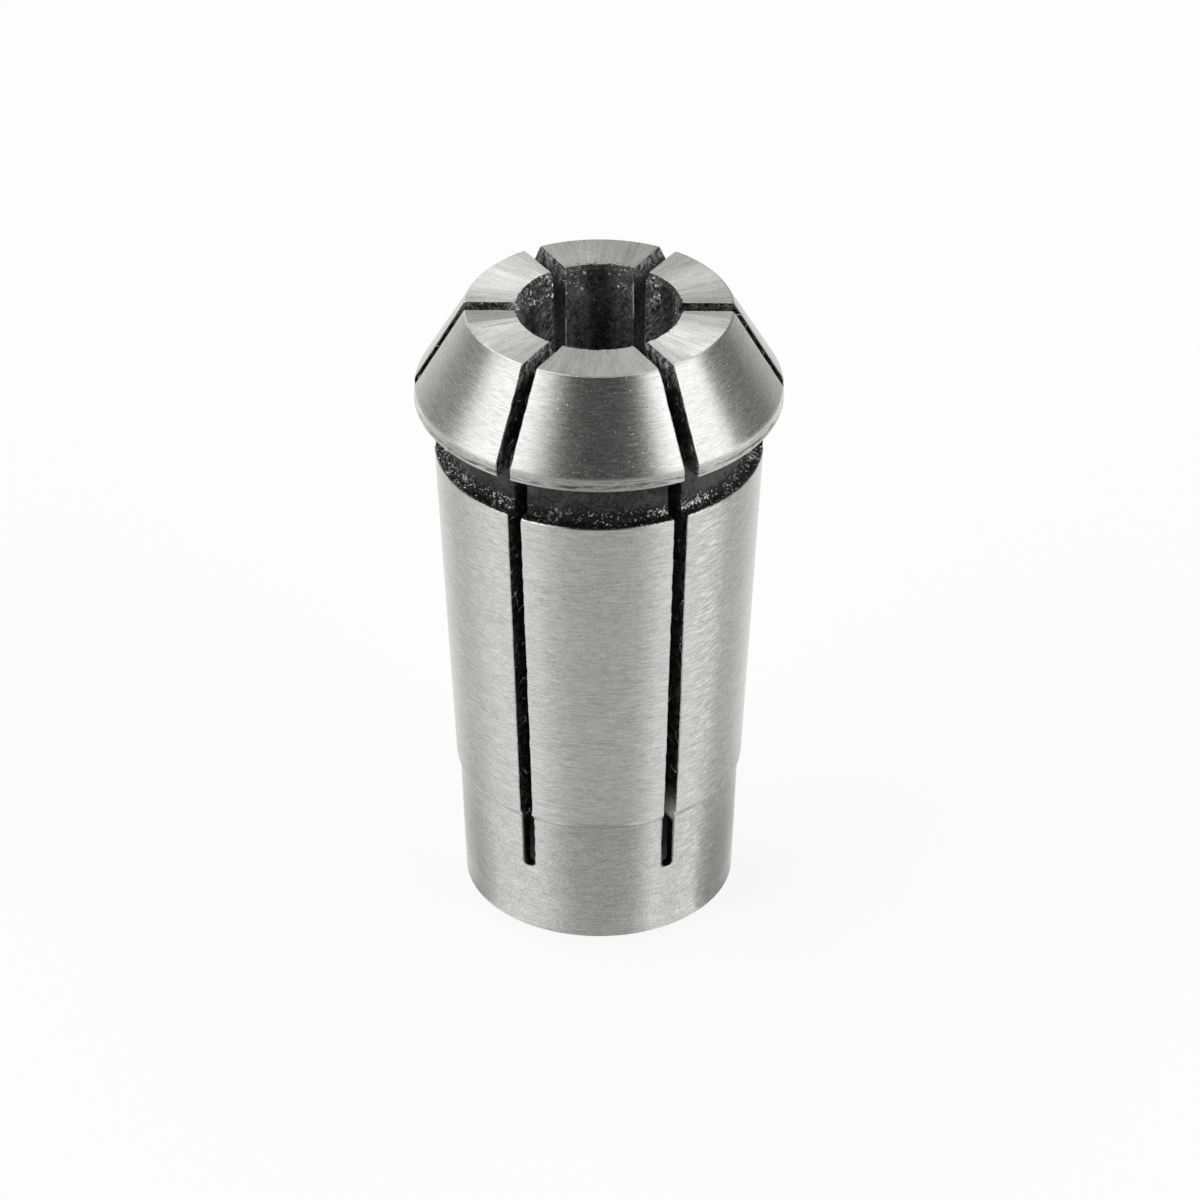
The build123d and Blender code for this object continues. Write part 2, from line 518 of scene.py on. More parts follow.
def make_groove_scale(finish, shape):
    """Scale in the snap groove: a dark grey neck over a black, crumbly foot with bright flakes, which gather
    in a line along the foot at the right. The neck has painted light, lighter at both sides than ahead."""
    material, graph = new_material("groove_scale")
    place = graph.place()
    x, y, z = graph.split(place)
    turn = turn_of(x, y)
    up = z - shape.shoulder_z
    ragged = graph.noise(place, scale=1.6, detail=3.0, roughness=0.6)
    foot = (up + (ragged - 0.5) * 1.3).step(0.95, 0.65)
    clouds = graph.noise(place, scale=0.9, detail=3.0)
    spots = graph.noise(graph.join(x * 1.6, y * 1.6, z * 1.1), detail=2.0).step(0.60, 0.68)
    grain = graph.noise(place, scale=5.0, detail=3.0, roughness=0.7)
    smears = graph.noise(graph.join(x * 0.7, y * 0.7, z * 1.4), detail=2.0).step(0.50, 0.66)
    # Painted light: the neck is lighter at the sides, where the side lights fall, than ahead
    pale = turn.band(0.45, 0.75, 1.15, 1.35) * 0.85 + turn.step(-0.88, -1.05) * 0.6
    level = 0.5 + pale + (clouds - 0.5) * 1.1 + (grain - 0.5) * 3.2 + smears * 0.45
    level = level.math("MAXIMUM", 0.05) * (1 - spots * 0.7) * (1 - foot * 0.75)

    bright = graph.noise(place, scale=4.6, detail=3.0, roughness=0.6)
    patches = graph.noise(place, scale=0.55).step(0.42, 0.58)
    line = up.band(0.0, 0.08, 0.40, 0.60) * turn.step(-0.02, 0.08)
    thick = turn.band(0.52, 0.58, 0.70, 0.95) + turn.band(0.30, 0.36, 0.46, 0.50) * 0.7
    dull = turn.band(-0.50, -0.40, -0.15, -0.05)
    flakes = foot * (bright + patches * 0.08 + line * (0.02 + thick * 0.10)).step(0.605, 0.645)
    flakes = flakes * (1 - dull * 0.5) + (1 - foot) * bright.step(0.70, 0.76) * patches * 0.5
    dark = graph.scaled(tuple(finish.scale_colour), level)
    finish_surface(graph, scaled_steel(graph, place, dark, flakes, finish, 7.5, 0.10 + foot * 0.25))
    return material


def make_bore_scale(finish, shape):
    """Scale in the bore and the hollow tail: rough and scratched, with flakes that thin out below the mouth,
    bare steel along some corners of the slots, painted highlight lines at the rear jaw's slot corners, and
    painted shade down in the hollow and away from the slots."""
    material, graph = new_material("bore_scale")
    place = graph.place()
    x, y, z = graph.split(place)
    turn = turn_of(x, y)
    aside = turn.math("ABSOLUTE")
    arc_length = turn * shape.bore
    depth = shape.length - z
    edge = slot_distance(shape, x, y, z)
    clouds = graph.noise(graph.join(x * 0.9, y * 0.9, z * 0.4), detail=3.0)
    scratch = graph.noise(
        graph.join(arc_length * 1.2 - z * 1.2, z * 6.0 + arc_length * 6.0, turn * 0.3),
        detail=2.0, roughness=0.65)
    grain = graph.noise(place, scale=6.5, detail=3.0, roughness=0.75)
    mottle = graph.noise(place, scale=2.6, detail=4.0, roughness=0.7)
    patches = graph.noise(place, scale=0.5).step(0.42, 0.60)
    bright = graph.noise(place, scale=4.0, detail=4.0, roughness=0.75)

    # Parts of the bore, each as a mask: above the hollow, the two jaws beside the rear one, the rear one, and
    # the top of the side jaws
    inside = z.step(shape.hollow_z + 0.1, shape.hollow_z + 0.5)
    flank = aside.band(1.75, 1.90, 2.50, 2.62)
    left = turn.step(-1.6, -1.7) * flank
    back = aside.step(2.5, 2.6)
    crest = depth.band(0.23, 0.41, 1.51, 2.11) * flank

    level = 0.9 + (clouds - 0.5) * 1.6 + (scratch - 0.5) * (1.2 + flank * 4.4 + left * 1.0)
    level = (level + (mottle - 0.5) * 3.2 + (grain - 0.5) * 3.6).math("MAXIMUM", 0.05)
    # Painted shade: far darker down in the hollow tail, and darker on each jaw away from its slots
    level = level * (0.3 + inside * 1.9) * (1 - edge.step(0.9, 2.0) * 0.72)
    level = level * (1 - depth.step(0.26, 0.19) * 0.7)
    level = level * (1 - back * depth.step(1.31, 1.01) * 0.35) * (1 - crest * 0.25)

    mouth = depth.step(3.11, 0.71) * (1 - depth.step(0.41, 0.21) * 0.7)
    gather = patches * 0.09 + 0.04 + flank * 0.06 + left * 0.07 - edge.step(0.6, 1.8) * (0.10 - left * 0.06)
    gather = gather + crest * (left * 0.10 + turn.step(2.26, 2.40) * 0.12)
    flakes = (bright + mouth * gather).step(0.615, 0.665) * inside

    # Bare steel: patches at the slots' corners and worn scratches; and two painted highlight lines along the
    # slot corners of the rear jaw
    bare = graph.noise(graph.join(x, y, z * 0.12), scale=0.8).step(0.50, 0.56)
    bare = edge.step(0.0, -0.05) * bare * inside
    drawn = turn.step(-2.5, -2.6) * depth.step(3.71, 4.11)
    drawn = drawn + turn.step(2.5, 2.6) * depth.band(0.71, 1.11, 3.31, 3.91)
    line = edge.step(0.01, -0.05) * back * drawn * (0.5 + bright)
    worn = scratch.step(0.62, 0.68) * inside * (1 - edge.step(0.6, 1.4)) * (0.10 + flank * 0.30)
    flakes = flakes.math("MAXIMUM", bare).math("MAXIMUM", worn) * (1 - line).math("MAXIMUM", 0.0)
    dark = graph.scaled(tuple(finish.bore_colour), level + line * 8.0)
    finish_surface(graph, scaled_steel(graph, place, dark, flakes, finish, 4.6, 0.3, lean=1.2))
    return material


def make_slot_scale(finish, shape):
    """Sawn slot walls under scale: mottled, with painted light and shade, lighter at the nose and darker
    towards the tail, with a few fine threads of lint and one painted patch of light low in the slot to the
    right of the front jaw."""
    material, graph = new_material("slot_scale")
    place = graph.place()
    x, y, z = graph.split(place)
    turn = turn_of(x, y)
    radius = radius_of(x, y)
    depth = shape.length - z
    mottle = graph.noise(place, scale=2.1, detail=5.0, roughness=0.8)

    # Parts of the slots, each as a mask
    above = z.step(shape.hollow_z - 0.1, shape.hollow_z + 0.2)
    front = y.step(1.0, -1.0)
    middle = depth.band(4.31, 6.31, 7.81, 9.81) * front
    sideways = (x / radius).math("ABSOLUTE").step(0.6, 0.9)
    leftmost = x.step(-1.0, -2.0) * sideways
    nose = depth.step(2.11, 0.11) * (1 - sideways * 0.80 + leftmost * 0.25)
    low_right = (turn - radians(30)).math("ABSOLUTE").step(0.12, 0.08) * z.step(13.5, 13.2)

    # Painted light and shade: lighter at the nose where light comes in, less so on the side slots, lighter
    # ahead and part way down the front slots, darker down in the tail
    level = 0.12 + above * (0.12 + front * 0.22) + middle * 0.5 + nose * 2.8
    level = (0.1 + mottle.step(0.42, 0.66) * 2.6) * level
    # A painted patch of light low on the wall of the slot right of the front jaw, brightest just above the
    # hollow
    painted_light_patch = low_right * z.step(12.9, 9.3) * z.step(9.0, 9.5)
    wander = graph.noise(place, scale=0.55, detail=1.0)
    thread = (wander - 0.5).math("ABSOLUTE").step(0.009, 0.004) * (1 - low_right)
    thread = thread * graph.noise(place, scale=0.9).step(0.52, 0.57)
    # A painted light patch on the wall of the left slot by the mouth, near the bore
    corner = leftmost * depth.step(1.01, 0.31) * (radius * radius).step(42.0, 34.0) * mottle.step(0.35, 0.60)
    level = level + painted_light_patch * painted_light_patch * 9.0 + thread * 11.0 + corner * 6.0
    flakes = (graph.noise(place, scale=4.6, detail=2.0) + nose * 0.05).step(0.66, 0.72)
    flakes = flakes * (0.25 + nose * 0.5) * above
    dark = graph.scaled(tuple(finish.bore_colour), level)
    finish_surface(graph, scaled_steel(graph, place, dark, flakes, finish, 6.5, 0.25, sheen=0.12))
    return material


# The finishes, in the order that their numbers above give
FINISH_MAKERS = (make_ground_steel, make_faced_steel, make_groove_scale, make_bore_scale, make_slot_scale)


# The collet's surface

# Way in from a slot's edge to each of the first points on a jaw, in millimetres
EDGE_STEPS = np.array([0, 0.04, 0.10, 0.20, 0.38])
# Share of the way from inside to outside of each line along a slot's wall
WALL_SHARES = np.array([0, 0.06, 0.2, 0.4, 0.6, 0.8, 0.93, 0.985, 1.0])
# Steps round the lower corner of a slot
CORNER_STEPS = 6
# Points that lie closer than this are one, in metres
MERGE_DISTANCE = 0.0005 * MM
# Edges that turn more than this stay sharp
SHARP_TURN = radians(24)


def smooth_noise(points, cell, seed):
    """Noise between -1 and 1 at points of any shape: random values on a cubic lattice of that cell size,
    blended by a smooth curve between the eight corners around each point."""
    table = np.random.default_rng(seed).uniform(-1, 1, (64, 64, 64))
    at = points / cell
    base = np.floor(at).astype(int)
    part = at - base
    part = part * part * (3 - 2 * part)
    total = np.zeros(points.shape[:-1])
    for corner in range(8):
        shift = np.array([corner & 1, corner >> 1 & 1, corner >> 2 & 1])
        i, j, k = np.moveaxis((base + shift) % 64, -1, 0)
        weight = np.prod(np.where(shift == 1, part, 1 - part), axis=-1)
        total += table[i, j, k] * weight
    return total


def fade(distance, reach):
    """1 at a distance of 0, falling smoothly to 0 at the reach."""
    share = np.clip(1 - distance / reach, 0, 1)
    return share * share * (3 - 2 * share)


def onward(points, way, steps):
    """Carries a profile on in that many equal steps: straight to the way's point, or round its arc, given as
    a centre, a radius and two angles, which is the centre plus the radius times their cosine and sine."""
    if len(way) == 2:
        share = np.linspace(0, 1, steps + 1)[1:, None]
        more = points[-1] + (np.array(way) - points[-1]) * share
    else:
        centre, radius, start, stop = way
        angle = np.radians(np.linspace(start, stop, steps + 1)[1:])
        more = np.array(centre) + radius * np.stack([np.cos(angle), np.sin(angle)], axis=1)
    return np.vstack([points, more])


class Shape:
    """The collet's radii and heights in millimetres, worked out from its settings."""

    slot_corner = 0.4
    hollow_corner = 0.3
    groove_foot = 0.35
    face_break = 0.08
    rim_break = 0.12
    shoulder_break = 0.1
    rear_break = 0.12
    mouth_break = 0.25
    # The slots reach their full width this far above the face
    margin = 1.0

    def __init__(self, sizes):
        self.length = sizes.total_length / MM
        self.head = sizes.head_diameter / MM / 2
        self.rim_top = self.length - sizes.nose_height / MM
        self.rim_bottom = self.rim_top - sizes.rim_length / MM
        self.shoulder_z = self.rim_bottom - sizes.groove_width / MM
        self.seat_bottom = self.shoulder_z - sizes.seat_length / MM
        self.tail_top = self.seat_bottom - sizes.step_length / MM
        self.half_angle = sizes.nose_half_angle
        self.face = self.head - sizes.nose_height / MM * tan(self.half_angle)
        self.shoulder = self.head - sizes.head_overhang / MM
        self.neck = self.shoulder - sizes.groove_depth / MM
        self.seat_end = self.shoulder - sizes.seat_length / MM * sizes.seat_taper / 2
        self.tail_top_radius = self.seat_end - sizes.step_depth / MM
        self.tail_end = self.tail_top_radius - self.tail_top * sizes.tail_taper / 2
        self.hollow = self.tail_end - sizes.skirt_wall / MM
        self.hollow_z = sizes.hollow_depth / MM
        self.bore = sizes.bore_diameter / MM / 2
        self.slot_z = sizes.slot_end / MM
        self.half_end = sizes.slot_width / MM / 2
        self.half_opening = sizes.slot_opening / MM / 2
        self.slot_slope = self.half_opening / (self.length + self.margin - self.slot_z)

    def tail_radius(self, z):
        """Radius of the tail's outside at a height, on the straight line between its two ends."""
        return self.tail_end + (self.tail_top_radius - self.tail_end) * z / self.tail_top

    def slot_half(self, z):
        """Half the slot's width at a height: it grows evenly towards the nose, and rounds in at its end."""
        rise = np.clip(self.slot_z + self.slot_corner - z, 0, self.slot_corner)
        rounding = self.slot_corner - np.sqrt(self.slot_corner**2 - rise**2)
        return self.half_end + self.slot_slope * np.clip(z - self.slot_z, 0, None) - rounding

    def jaw_profile(self):
        """The jaw's outside and inside as two rows of (radius, height) points with the same count, paired so
        that straight lines between pairs fill its slot wall, and the finish of each strip of the outside."""
        corner_turn = np.linspace(0, pi / 2, CORNER_STEPS + 1)
        corner_z = self.slot_z + self.slot_corner * (1 - np.cos(corner_turn))
        out = np.stack([self.tail_radius(corner_z), corner_z], axis=1)
        into = np.stack([np.full_like(corner_z, self.hollow), corner_z], axis=1)
        finish = [GROUND] * CORNER_STEPS

        tall = self.hollow_z - self.hollow_corner
        hollow_arc = ((self.hollow - self.hollow_corner, tall), self.hollow_corner, 0, 90)
        foot = self.groove_foot
        foot_arc = ((self.neck + foot, self.shoulder_z + foot), foot, 270, 180)
        seat_slope = (self.shoulder - self.seat_end) / (self.shoulder_z - self.seat_bottom)
        seat_top = (self.shoulder - self.shoulder_break * seat_slope, self.shoulder_z - self.shoulder_break)
        ledge_edge = (self.shoulder - self.shoulder_break, self.shoulder_z)
        face_edge = (self.face - self.face_break, self.length)
        mouth_edge = (self.bore + self.mouth_break, self.length)
        nose_way = np.array([-sin(self.half_angle), cos(self.half_angle)])
        nose_foot = np.array([self.head, self.rim_top]) + self.rim_break * nose_way
        nose_top = np.array([self.face, self.length]) - self.face_break * nose_way
        # The finish, the steps and the next point or arc outside, then inside, from the slots' ends upwards
        strips = (
            (GROUND, 15, (self.tail_radius(tall), tall), (self.hollow, tall)),
            (GROUND, 4, (self.tail_radius(self.hollow_z), self.hollow_z), hollow_arc),
            (GROUND, 8, (self.tail_top_radius, self.tail_top), (self.bore, self.hollow_z)),
            (GROUND, 3, (self.seat_end, self.seat_bottom), (self.bore, self.seat_bottom - 0.25)),
            (GROUND, 106, seat_top, (self.bore, self.shoulder_z - 0.2)),
            (GROUND, 1, ledge_edge, (self.bore, self.shoulder_z - 0.1)),
            (GROOVE, 4, (self.neck + foot, self.shoulder_z), (self.bore, self.shoulder_z + 0.15)),
            (GROOVE, 5, foot_arc, (self.bore, self.shoulder_z + foot + 0.1)),
            (GROOVE, 15, (self.neck, self.rim_bottom), (self.bore, self.rim_bottom - 0.7)),
            (GROOVE, 9, (self.head - self.rim_break, self.rim_bottom), (self.bore, self.rim_bottom + 0.05)),
            (GROUND, 1, (self.head, self.rim_bottom + self.rim_break), (self.bore, self.rim_bottom + 0.15)),
            (GROUND, 4, (self.head, self.rim_top - self.rim_break), (self.bore, self.rim_top - 0.1)),
            (GROUND, 1, nose_foot, (self.bore, self.rim_top + 0.1)),
            (GROUND, 28, nose_top, (self.bore, self.length - self.mouth_break)),
            (GROUND, 2, face_edge, mouth_edge),
        )
        for kind, steps, outside, inside in strips:
            out = onward(out, outside, steps)
            into = onward(into, inside, steps)
            finish += [kind] * steps
        return out, into, np.array(finish)

    def ring_profile(self):
        """The undivided ring's outside and inside, from the slots' ends down to the rear end."""
        out = np.array([[self.tail_radius(self.slot_z), self.slot_z]])
        into = np.array([[self.hollow, self.slot_z]])
        # Short steps just below the slots, where their edges are worn, and longer ones from there
        for end, steps in ((self.slot_z - 0.3, 5), (self.rear_break, 15)):
            out = onward(out, (self.tail_radius(end), end), steps)
            into = onward(into, (self.hollow, end), steps)
        out = onward(out, (self.tail_end - self.rear_break, 0), 1)
        into = onward(into, (self.hollow, 0), 1)
        return out, into


def jaw_azimuths(radius, half_width):
    """Azimuths across a jaw: fixed arc steps in from both slot edges, and even steps between them. An edge
    stands off its slot's middle by the half width, so its azimuth is the arcsine of that over the radius."""
    edge = np.arcsin(half_width / radius)[..., None]
    near = edge + EDGE_STEPS / radius[..., None]
    inner = np.linspace(0, 1, 15)[1:-1]
    last = near[..., -1:]
    middle = last + (SECTOR - 2 * last) * inner
    return np.concatenate([near, middle, SECTOR - near[..., ::-1]], axis=-1)


def gap_azimuths(radius, half_width):
    """Azimuths across the steel below a slot, in even steps from one edge line to the other."""
    edge = np.arcsin(half_width / radius)[..., None]
    return edge * np.linspace(-1, 1, 4)


def surface_points(radius, azimuth, z):
    """Points at a radius and azimuth about the axis, at a height."""
    radius, azimuth, z = np.broadcast_arrays(radius, azimuth, z)
    return np.stack([radius * np.cos(azimuth), radius * np.sin(azimuth), z], axis=-1)


class Patches:
    """Gathers grid patches of one sector, worn by one rule, repeats them around the axis and joins them."""

    def __init__(self, shape, wear, seed):
        self.shape = shape
        self.wear = wear
        self.seed = seed
        self.points = []
        self.quads = []
        self.finishes = []
        self.count = 0

    def worn(self, points, share):
        """Moves points by the wear: slot edges are broken inwards, slot walls and scaled surfaces are uneven.
        The move depends only on a point's place and on its share of the way from inside to outside, so
        patches that meet stay joined."""
        shape = self.shape
        x, y, z = np.moveaxis(points, -1, 0)
        radius = np.hypot(x, y)
        azimuth = np.arctan2(y, x)
        slot = np.round(azimuth / SECTOR) * SECTOR
        off = radius * np.sin(azimuth - slot)
        along = radius * np.cos(azimuth - slot)

        # The distance to the nearest slot's edge, as slot_distance has it
        half = shape.half_end + shape.slot_slope * np.clip(z - shape.slot_z, 0, None)
        beside = np.clip(np.abs(off) - (half - shape.slot_corner), 0, None)
        below = np.clip(shape.slot_z + shape.slot_corner - z, 0, None)
        distance = np.hypot(beside, below) - shape.slot_corner

        rough = smooth_noise(points, 0.34, self.seed) + 0.5 * smooth_noise(points, 0.16, self.seed + 1)
        uneven = smooth_noise(points, 0.55, self.seed + 2) + 0.6 * smooth_noise(points, 0.25, self.seed + 3)
        on_tail = np.clip((shape.seat_bottom - z) / 0.5, 0, 1)
        outside = share**6
        inside = (1 - share) ** 6

        # Slot edges fall away from the outside, further and deeper on the tail
        reach = 0.12 + 0.14 * on_tail
        depth = self.wear * (1 + 1.2 * on_tail) * (1 + 0.45 * uneven)
        radius_move = -outside * depth * np.clip(1 - distance / reach, 0, 1) ** 2
        # Scale stands uneven in the groove and the bore, and crumbles at the mouth
        in_groove = (z > shape.shoulder_z - 0.01) & (z < shape.rim_bottom + 0.01) & (radius < shape.shoulder)
        radius_move += np.where(in_groove, 0.018 * uneven, 0) * outside
        radius_move += inside * 0.022 * uneven
        at_mouth = np.clip((z - (shape.length - 0.3)) / 0.2, 0, 1) * inside
        radius_move += at_mouth * 0.045 * rough

        # Slot edges are ragged sideways, and the slots are narrower near the bore, except at the nose
        edge_move = 0.026 * rough * np.exp(-(distance / 0.07) ** 2)
        inner = np.clip((8.0 - radius) / 2.5, 0, 1)
        flare = np.clip((z - (shape.length - 2.2)) / 2.2, 0, 1) ** 2
        edge_move -= 0.11 * inner * (1 - flare) * fade(distance, 1.0)
        # The two rear slots spread on their outer side towards the nose
        outer_side = (np.abs(slot - pi / 2) < 0.6) & (off * (slot - pi / 2) > 0)
        spread = np.clip((z - 25.0) / (shape.length - 25.0), 0, 1) ** 2
        spread = spread * (0.4 + 0.6 * np.clip((radius - shape.bore) / (shape.face - shape.bore), 0, 1))
        edge_move += np.where(outer_side, 0.22 * spread * fade(distance, 3.0), 0)
        # One side of each slot stands out low in the seat, and the other one stands in on the tail
        low_seat = np.clip((z - shape.seat_bottom) / 0.3, 0, 1) * np.clip((28.0 - z) / 10.0, 0, 1)
        edge_move += np.where(off > 0, 0.075 * low_seat, -0.08 * on_tail) * fade(distance, 1.0)

        off = off + edge_move * np.sign(off) * (z > shape.slot_z + 0.01)
        new_radius = np.hypot(along, off) + radius_move
        new_azimuth = slot + np.arctan2(off, along)
        return surface_points(new_radius, new_azimuth, z)

    def add(self, radius, azimuth, z, share, finish):
        """A grid patch of one sector, repeated six times, with one finish or one for each strip of rows."""
        base = surface_points(radius, azimuth, z)
        rows, columns = base.shape[:2]
        share = np.broadcast_to(share, (rows, columns))
        for turn in range(6):
            angle = turn * SECTOR
            cos_a, sin_a = cos(angle), sin(angle)
            around = np.array([[cos_a, sin_a, 0], [-sin_a, cos_a, 0], [0, 0, 1]])
            self.points.append(self.worn(base @ around, share).reshape(-1, 3))
            index = self.count + np.arange(rows * columns).reshape(rows, columns)
            quads = np.stack([index[:-1, :-1], index[:-1, 1:], index[1:, 1:], index[1:, :-1]], axis=-1)
            self.quads.append(quads.reshape(-1, 4))
            kinds = np.broadcast_to(np.reshape(finish, (-1, 1)), quads.shape[:2])
            self.finishes.append(kinds.reshape(-1))
            self.count += rows * columns


def collet_patches(shape, wear, seed):
    """All surfaces of the collet as grid patches: outside, inside, slot walls and face of the jaws, then the
    slots' floors and the ring below them. Each is a grid over the height or the wall, and the azimuth."""
    patches = Patches(shape, wear, seed)
    out, into, finish = shape.jaw_profile()
    out_half = shape.slot_half(out[:, 1])
    in_half = shape.slot_half(into[:, 1])

    patches.add(out[:, :1], jaw_azimuths(out[:, 0], out_half), out[:, 1:], 1, finish)
    patches.add(into[:, :1], jaw_azimuths(into[:, 0], in_half), into[:, 1:], 0, BORE)

    share = WALL_SHARES[None, :]
    wall = into[:, None, :] + (out - into)[:, None, :] * share[..., None]
    wall_half = shape.slot_half(wall[..., 1])
    azimuth = np.arcsin(wall_half / wall[..., 0])
    patches.add(wall[..., 0], azimuth, wall[..., 1], share, SLOT)
    patches.add(wall[..., 0], -azimuth, wall[..., 1], share, SLOT)

    row_share = WALL_SHARES[:, None]
    face = wall[-1]
    patches.add(face[:, :1], jaw_azimuths(face[:, 0], wall_half[-1]), face[:, 1:], row_share, FACED)

    flat_half = shape.slot_half(np.array(shape.slot_z))
    floor = wall[0]
    patches.add(floor[:, :1], gap_azimuths(floor[:, 0], flat_half), floor[:, 1:], row_share, SLOT)

    out, into = shape.ring_profile()
    rear = into[-1] + (out[-1] - into[-1]) * row_share
    for azimuths in (jaw_azimuths, gap_azimuths):
        patches.add(out[:, :1], azimuths(out[:, 0], flat_half), out[:, 1:], 1, GROUND)
        patches.add(into[:, :1], azimuths(into[:, 0], flat_half), into[:, 1:], 0, BORE)
        patches.add(rear[:, :1], azimuths(rear[:, 0], flat_half), rear[:, 1:], row_share, GROUND)
    return patches


def joined_mesh(name, patches):
    """A mesh of all patches, with the points of meeting edges merged and the faces turned outwards."""
    mesh = bpy.data.meshes.new(name)
    points = np.concatenate(patches.points) * MM
    mesh.from_pydata(points.tolist(), [], np.concatenate(patches.quads).tolist())
    mesh.polygons.foreach_set("material_index", np.concatenate(patches.finishes).astype(np.int32))
    edit = bmesh.new()
    edit.from_mesh(mesh)
    bmesh.ops.remove_doubles(edit, verts=edit.verts, dist=MERGE_DISTANCE)
    bmesh.ops.recalc_face_normals(edit, faces=edit.faces)
    open_edges = sum(not edge.is_manifold for edge in edit.edges)
    edit.to_mesh(mesh)
    edit.free()
    if open_edges:
        raise RuntimeError(f"the collet's surface is open or folded at {open_edges} edges")
    mesh.shade_smooth()
    mesh.set_sharp_from_angle(angle=SHARP_TURN)
    return mesh


# Operators


class OBJECT_OT_collet_body(bpy.types.Operator):
    """Build the slotted steel sleeve with its finishes"""

    bl_idname = "object.collet_body"
    bl_label = "Collet Body"

    def execute(self, context):
        scene = context.scene
        shape = Shape(scene.collet_sizes)
        finish = scene.collet_finish
        patches = collet_patches(shape, finish.edge_wear / MM, finish.wear_seed)
        mesh = joined_mesh("collet_steel", patches)
        for make in FINISH_MAKERS:
            mesh.materials.append(make(finish, shape))
        body = bpy.data.objects.new("collet_steel", mesh)
        scene.collection.objects.link(body)
        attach(body, "root")
        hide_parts("collet")
        return {"FINISHED"}


def make_world(graph):
    """Studio surroundings by direction: white to the camera, and to everything else a dark front between two
    tall soft lights at the sides, with a bright ceiling and a mid-grey back."""
    direction = graph.add("ShaderNodeTexCoord", out="Generated")
    x, y, z = graph.split(direction)
    turn = turn_of(x, y)
    around = graph.by_angle(turn, [
        (-180, 0.55), (-144, 0.62), (-130, 0.42), (-120, 0.27), (-107, 0.28), (-99, 0.40), (-91, 1.0),
        (-83, 1.5), (-48, 1.5), (-37, 0.80), (-29, 0.25), (-19, 0.07), (0, 0.05), (19, 0.06), (29, 0.09),
        (37, 0.66), (47, 1.8), (62, 1.45), (84, 1.7), (91, 0.44), (98, 0.22), (115, 0.14), (122, 0.14),
        (130, 0.22), (144, 0.50), (180, 0.55),
    ])
    above = graph.by_angle(turn, [
        (-180, 0.45), (-170, 0.55), (-160, 2.0), (-135, 2.6), (-60, 2.6), (-40, 0.9), (-25, 0.1),
        (25, 0.1), (40, 0.8), (60, 1.8), (135, 1.8), (160, 1.4), (170, 0.55), (180, 0.45),
    ])
    high = z.step(0.60, 0.78)
    top = z.step(0.90, 0.985)
    level = (around * (1 - high) + above * high) * (1 - top) + top * 0.75
    seen = graph.add("ShaderNodeLightPath", out="Is Camera Ray")
    light = graph.add("ShaderNodeBackground", sockets={
        "Color": graph.scaled((1, 1, 1), level), "Strength": 1.0})
    white = graph.add("ShaderNodeBackground", sockets={"Color": (1, 1, 1, 1), "Strength": 1.0})
    mixed = graph.add("ShaderNodeMixShader", sockets={0: seen, 1: light, 2: white})
    graph.add("ShaderNodeOutputWorld", sockets={"Surface": mixed})


# The floor is a disc of this radius in metres and this many sides
FLOOR_RADIUS = 3.0
FLOOR_SIDES = 64
# Millimetres: how far out the hollow tail covers the floor, and the mean radius of the steel that mirrors it
HOLLOW_FLOOR_RADIUS = 9.2
MIRRORING_RADIUS = 10.3
HOLLOW_FLOOR_COLOUR = (0.55, 0.55, 0.55)


def mirroring_azimuth(x, y, collet_radius):
    """The azimuth on the collet that mirrors this spot of the floor to the front. The spot lies on the line
    that leaves the collet's side at azimuth a and heads for azimuth 2a, so the sine of (2a - its own azimuth)
    is the collet's radius times the sine of a over the spot's radius. Four passes settle a."""
    turn = turn_of(x, y)
    share = (collet_radius / radius_of(x, y)).math("MINIMUM", 1.0)
    azimuth = turn * 0.5
    for _ in range(4):
        azimuth = (turn + (azimuth.math("SINE") * share).math("ARCSINE")) * 0.5
    return azimuth


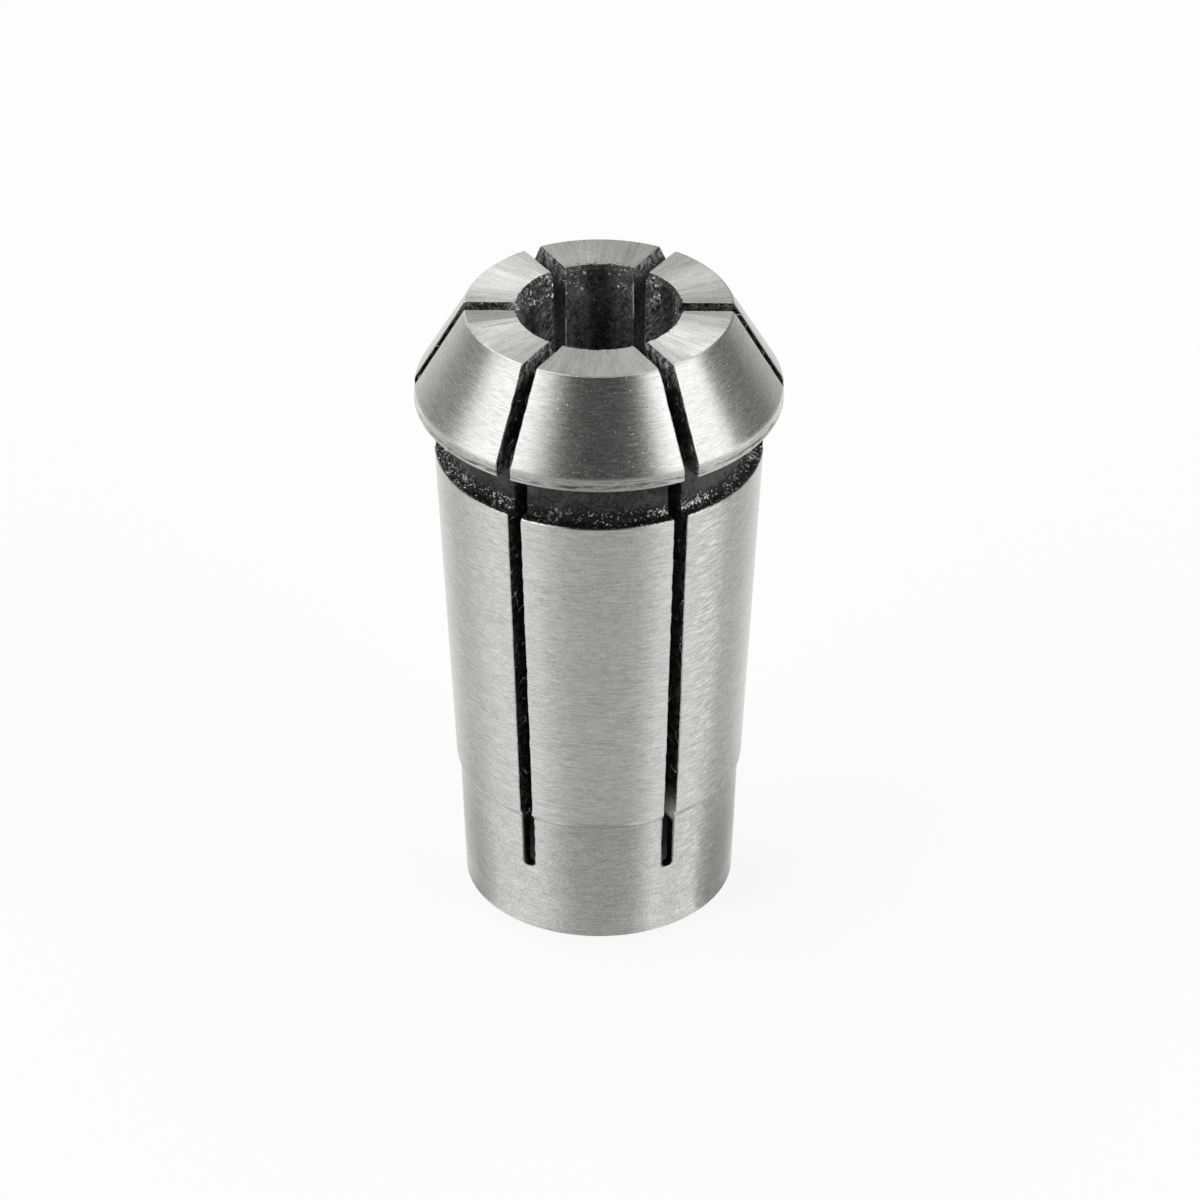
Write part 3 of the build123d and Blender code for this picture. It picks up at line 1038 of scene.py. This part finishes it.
def make_floor_material(colour):
    """A pale matt floor. To the camera it is mostly its own plain colour, and keeps a part of the shadow. In
    reflections it is a studio sweep, bright at the sides and darker in front, by where the steel mirrors it.
    Inside the hollow tail it is plain grey, and only what comes in through the slots lights it."""
    material, graph = new_material("studio_floor")
    x, y, _ = graph.split(graph.place())
    radius = radius_of(x, y)
    outside = radius.math("GREATER_THAN", HOLLOW_FLOOR_RADIUS)
    azimuth = mirroring_azimuth(x, y, MIRRORING_RADIUS)
    aside = azimuth.math("ABSOLUTE")
    around = graph.by_angle(azimuth, [
        (-90, 1.15), (-80, 1.0), (-75, 0.93), (-70, 0.84), (-65, 0.72), (-60, 0.67), (-55, 0.70),
        (-50, 0.82), (-45, 0.91), (-40, 0.96), (-25, 0.96), (-20, 0.80), (-15, 0.67), (-10, 0.59),
        (0, 0.55), (10, 0.57), (15, 0.60), (20, 0.76), (24, 0.98), (35, 0.92), (44, 1.0), (47.5, 0.98),
        (49.5, 0.66), (55, 0.59), (60, 0.60), (65, 0.69), (70, 0.80), (75, 0.93), (80, 1.0), (90, 1.15),
    ])
    # Near the collet, which is what the tail mirrors, the sweep is a little darker, a painted shadow of the
    # collet
    close = radius.step(26.0, 13.0)
    around = around * (1 - close * aside.step(0.8, 1.2) * 0.2)
    around = around - close * (1 - around).math("MAXIMUM", 0.0) * 0.27
    around = around * (1 - close * azimuth.band(1.00, 1.15, 1.40, 1.48) * 0.13)
    # Further out, which is what the seat and then the rim mirror, it darkens ahead and at the sides
    around = around * (1 - radius.step(35.0, 50.0) * aside.step(0.45, 0.25) * 0.06)
    far = radius.step(80.0, 200.0) * aside.step(0.85, 1.00)
    around = around * (1 - far * (0.12 + azimuth.step(0.0, 0.1) * 0.18))
    seen = graph.add("ShaderNodeLightPath", out="Is Camera Ray")
    mirrored = graph.add("ShaderNodeLightPath", out="Is Glossy Ray")
    matt = graph.add("ShaderNodeBsdfDiffuse", sockets={
        "Color": graph.blend(outside, opaque(HOLLOW_FLOOR_COLOUR), opaque(colour))})
    plain = graph.add("ShaderNodeEmission", sockets={
        "Color": graph.scaled((1, 1, 1), seen + mirrored * around), "Strength": 1.0})
    share = (seen * 0.85 + mirrored) * outside
    mixed = graph.add("ShaderNodeMixShader", sockets={0: share, 1: matt, 2: plain})
    finish_surface(graph, mixed)
    return material


class OBJECT_OT_collet_stage(bpy.types.Operator):
    """Set up the pale floor, the soft light and the camera"""

    bl_idname = "object.collet_stage"
    bl_label = "Stage"

    def execute(self, context):
        scene = context.scene
        studio = scene.collet_studio
        angle = np.linspace(0, 2 * pi, FLOOR_SIDES, endpoint=False)
        rim = surface_points(FLOOR_RADIUS, angle, 0.0)
        mesh = bpy.data.meshes.new("studio_floor")
        mesh.from_pydata(rim.tolist(), [], [list(range(FLOOR_SIDES))])
        mesh.materials.append(make_floor_material(studio.floor_colour))
        floor = bpy.data.objects.new("studio_floor", mesh)
        scene.collection.objects.link(floor)

        world = bpy.data.worlds.new("studio")
        world.use_nodes = True
        make_world(Graph(world.node_tree))
        scene.world = world

        view = bpy.data.cameras.new("camera")
        view.sensor_width = 36
        view.lens = studio.lens / MM
        view.clip_start = 0.01
        camera = bpy.data.objects.new("camera", view)
        aim = np.array(studio.aim)
        back = np.array([0, -cos(studio.elevation), sin(studio.elevation)])
        spot = aim + back * studio.distance
        cos_t, sin_t = cos(studio.turn), sin(studio.turn)
        camera.location = (spot[0] * cos_t - spot[1] * sin_t, spot[0] * sin_t + spot[1] * cos_t, spot[2])
        camera.rotation_euler = (pi / 2 - studio.elevation, 0, studio.turn)
        scene.collection.objects.link(camera)
        scene.camera = camera
        scene.view_settings.view_transform = "Standard"
        return {"FINISHED"}


class VIEW3D_PT_collet(bpy.types.Panel):
    """Lists what builds the collet and its settings"""

    bl_idname = "VIEW3D_PT_collet"
    bl_label = "Collet"
    bl_space_type = "VIEW_3D"
    bl_region_type = "UI"
    bl_category = "Collet"

    def draw(self, context):
        layout = self.layout
        for operator in OPERATORS:
            layout.operator(operator.bl_idname)
        for group in (context.scene.collet_sizes, context.scene.collet_finish, context.scene.collet_studio):
            column = layout.column(align=True)
            for name in group.__annotations__:
                column.prop(group, name)


GROUPS = {"collet_sizes": ColletSizes, "collet_finish": ColletFinish, "collet_studio": StudioSettings}
OPERATORS = (OBJECT_OT_collet_body, OBJECT_OT_collet_stage)
CLASSES = (*GROUPS.values(), *OPERATORS, VIEW3D_PT_collet)


def register():
    for item in CLASSES:
        bpy.utils.register_class(item)
    for name, group in GROUPS.items():
        setattr(bpy.types.Scene, name, PointerProperty(type=group))


def unregister():
    for name in GROUPS:
        delattr(bpy.types.Scene, name)
    for item in reversed(CLASSES):
        bpy.utils.unregister_class(item)


def main():
    register()
    bpy.ops.object.collet_body()
    bpy.ops.object.collet_stage()


if __name__ == "__main__":
    main()
